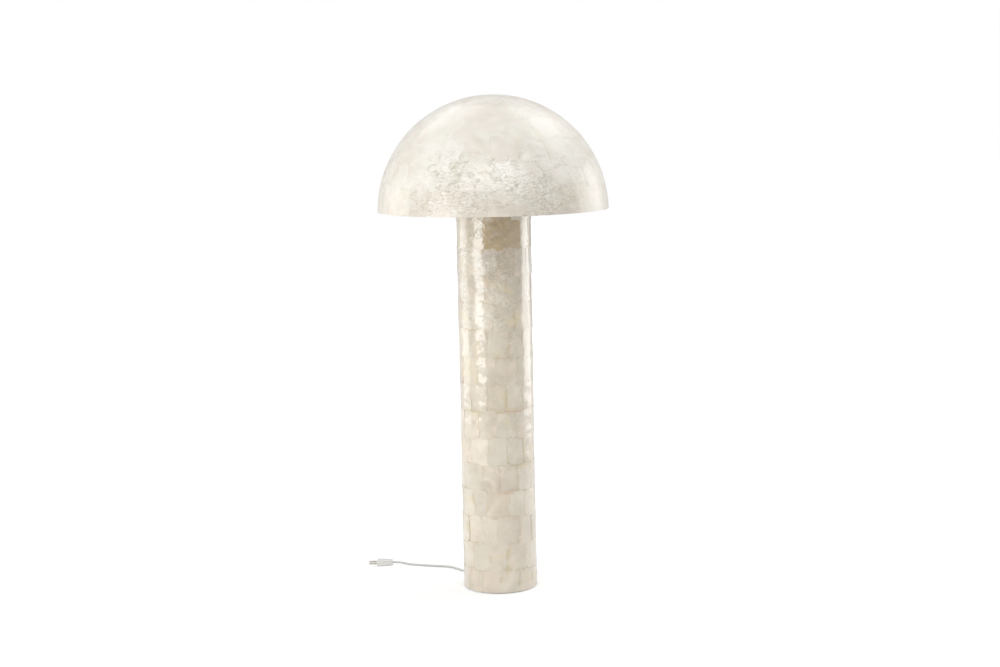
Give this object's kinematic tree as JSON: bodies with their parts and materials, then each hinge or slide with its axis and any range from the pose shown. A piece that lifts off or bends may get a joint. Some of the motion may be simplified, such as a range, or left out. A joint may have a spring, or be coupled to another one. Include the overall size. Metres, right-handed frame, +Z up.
{
  "type": "floor lamp",
  "caption": "Mushroom floor lamp: a half-dome shade lifts off a straight round column clad in small overlapping courses of pearly shell, with a cord, foot switch and plug.",
  "frame": {"origin": "centre of the column's foot, on the floor", "axes": "+Z up along the column, -Y to the front as pictured, +X to the right; the cord leaves at the back right"},
  "size_m": [0.555, 0.5, 1.081],
  "materials": {
    "shade_shell": "gloss",
    "column_shell": "gloss",
    "white_ring": "satin",
    "column_core": "matte",
    "plated_steel": "satin",
    "white_metal": "satin",
    "iron": "matte",
    "felt": "matte",
    "pad_rubber": "matte",
    "holder_plastic": "satin",
    "holder_ceramic": "satin",
    "contact_brass": "satin",
    "bulb_diffuser": "satin",
    "bulb_metal": "satin",
    "cord_sheath": "satin",
    "white_plastic": "satin",
    "button_plastic": "satin",
    "pin_metal": "polished"
  },
  "bodies": {
    "stand": {"column_shells": "column_shell", "column_tube": "column_core", "base_screws": "plated_steel", "weight_clamp_plate": "plated_steel", "top_plate": "plated_steel", "tie_tube": "plated_steel", "tie_nuts": "plated_steel", "gallery_studs": "plated_steel", "base_cover": "white_metal", "shade_gallery": "white_metal", "base_weight": "iron", "foot_pad": "felt", "gallery_pads": "pad_rubber", "holder_cap": "holder_plastic", "holder_sleeve": "holder_plastic", "holder_insert": "holder_ceramic", "holder_contact": "contact_brass", "holder_screw_shell": "contact_brass", "cord_to_switch": "cord_sheath", "cord_to_coil": "cord_sheath", "cord_coil": "cord_sheath", "cord_to_plug": "cord_sheath", "inner_cord": "cord_sheath", "cord_bush": "white_plastic", "cord_clamp": "white_plastic", "switch_base": "white_plastic", "switch_cover": "white_plastic", "plug_body": "white_plastic", "plug_pins": "pin_metal"},
    "shade": {"shade_dome": "shade_shell", "shade_seat_ring": "white_ring"},
    "bulb": {"bulb_tip": "bulb_metal", "bulb_cap": "bulb_metal", "bulb_globe": "bulb_diffuser"},
    "foot_button": {"switch_button": "button_plastic"}
  },
  "joints": [
    {"name": "shade_lift", "type": "slide", "parent": "stand", "child": "shade", "axis": [0, 0, 1], "range_m": [0, 0.17]},
    {"name": "bulb_turn", "type": "hinge", "parent": "stand", "child": "bulb", "pos_m": [0, 0, 0.89], "axis": [0, 0, 1], "range_deg": [0, 1080]},
    {"name": "button_press", "type": "slide", "parent": "stand", "child": "foot_button", "axis": [0, 0, -1], "range_m": [0, 0.0015], "stiffness_N_per_m": 800, "springref_m": -0.001}
  ]
}
